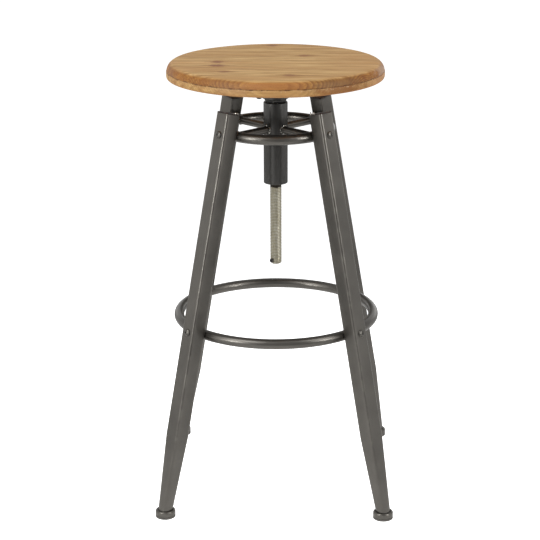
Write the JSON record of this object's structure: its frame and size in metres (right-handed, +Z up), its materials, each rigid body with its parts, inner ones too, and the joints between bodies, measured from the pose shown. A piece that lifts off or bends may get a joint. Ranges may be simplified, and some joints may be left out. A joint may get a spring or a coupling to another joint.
{
  "type": "bar stool",
  "caption": "Screw-adjustable bar stool: round wooden seat on a threaded spindle in a hub, with splayed square-tube legs, an upper brace ring and a lower footrest ring.",
  "frame": {"origin": "on the floor, under the middle of the seat", "axes": "+Z up along the spindle, +X to the right and -Y towards the viewer of the picture; legs on the diagonals"},
  "size_m": [0.3738, 0.3738, 0.6931],
  "materials": {
    "pine": "honey-toned pine with knots under a matt oil finish",
    "gunmetal_paint": "satin gunmetal lacquer over steel, rubbed at the edges",
    "hub_paint": "darker satin gunmetal lacquer over welded steel",
    "bare_steel": "bare rolled-thread steel, lightly oiled",
    "black_oxide": "black-oxide steel screws and inserts",
    "black_plastic": "moulded black-brown plastic",
    "grey_plastic": "moulded dark grey plastic",
    "black_rubber": "matt black rubber",
    "brass": "plain turned brass"
  },
  "bodies": {
    "frame": {"upper_ring": "gunmetal_paint", "footrest_ring": "gunmetal_paint", "leg_back_right": "gunmetal_paint", "foot_back_right": "gunmetal_paint", "hub_arm_back_right": "gunmetal_paint", "leg_back_left": "gunmetal_paint", "foot_back_left": "gunmetal_paint", "hub_arm_back_left": "gunmetal_paint", "leg_front_left": "gunmetal_paint", "foot_front_left": "gunmetal_paint", "hub_arm_front_left": "gunmetal_paint", "leg_front_right": "gunmetal_paint", "foot_front_right": "gunmetal_paint", "hub_arm_front_right": "gunmetal_paint", "hub_sleeve": "hub_paint", "upper_bolt_back_right": "black_oxide", "footrest_bolt_back_right": "black_oxide", "upper_insert_back_right": "black_oxide", "footrest_insert_back_right": "black_oxide", "upper_bolt_back_left": "black_oxide", "footrest_bolt_back_left": "black_oxide", "upper_insert_back_left": "black_oxide", "footrest_insert_back_left": "black_oxide", "upper_bolt_front_left": "black_oxide", "footrest_bolt_front_left": "black_oxide", "upper_insert_front_left": "black_oxide", "footrest_insert_front_left": "black_oxide", "upper_bolt_front_right": "black_oxide", "footrest_bolt_front_right": "black_oxide", "upper_insert_front_right": "black_oxide", "footrest_insert_front_right": "black_oxide", "leg_cap_back_right": "black_plastic", "leg_cap_back_left": "black_plastic", "leg_cap_front_left": "black_plastic", "leg_cap_front_right": "black_plastic", "foot_pad_back_right": "grey_plastic", "foot_pad_back_left": "grey_plastic", "foot_pad_front_left": "grey_plastic", "foot_pad_front_right": "grey_plastic", "spindle_nut": "brass", "guide_bush": "brass"},
    "lift": {"buffer_ring": "black_rubber"},
    "seat": {"seat_board": "pine", "seat_plate": "hub_paint", "seat_collar": "hub_paint", "spindle": "bare_steel", "stop_screw": "black_oxide", "seat_screw_1": "black_oxide", "seat_screw_2": "black_oxide", "seat_screw_3": "black_oxide", "seat_screw_4": "black_oxide"}
  },
  "joints": [
    {"name": "seat_lift", "type": "slide", "parent": "frame", "child": "lift", "axis": [0, 0, 1], "range_m": [0, 0.12]},
    {"name": "seat_turn", "type": "hinge", "parent": "lift", "child": "seat", "pos_m": [0, 0, 0.6931], "axis": [0, 0, 1], "range_deg": [0, 17280]}
  ],
  "couplings": [
    {"joint": "seat_lift", "follows": "seat_turn", "m_per_rad": 0.00039789}
  ]
}
